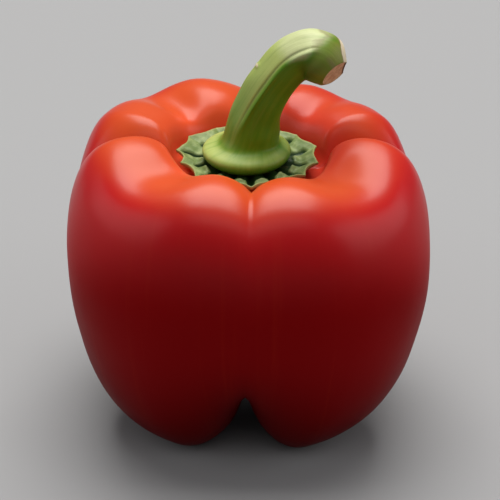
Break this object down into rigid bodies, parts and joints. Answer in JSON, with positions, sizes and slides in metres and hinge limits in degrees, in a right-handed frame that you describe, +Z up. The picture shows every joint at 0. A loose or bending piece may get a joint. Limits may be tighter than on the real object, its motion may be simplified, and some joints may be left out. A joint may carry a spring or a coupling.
{
  "type": "bell pepper",
  "caption": "Blocky red bell pepper with deep shoulders, a star-shaped green calyx and a hooked, cut stem, standing on its own lobes.",
  "frame": {"origin": "on the surface that the pepper stands on, under the middle of its bounding box", "axes": "+Z up, from the blossom end to the stem; the side that faces the viewer is towards -Y, and the stem hooks over to +X"},
  "size_m": [0.0864, 0.087, 0.0991],
  "materials": {
    "fruit_skin": "glossy, waxy",
    "calyx_green": "waxy",
    "stem_green": "satin"
  },
  "bodies": {
    "root": {"fruit": "fruit_skin", "calyx": "calyx_green", "stem": "stem_green"}
  },
  "joints": []
}
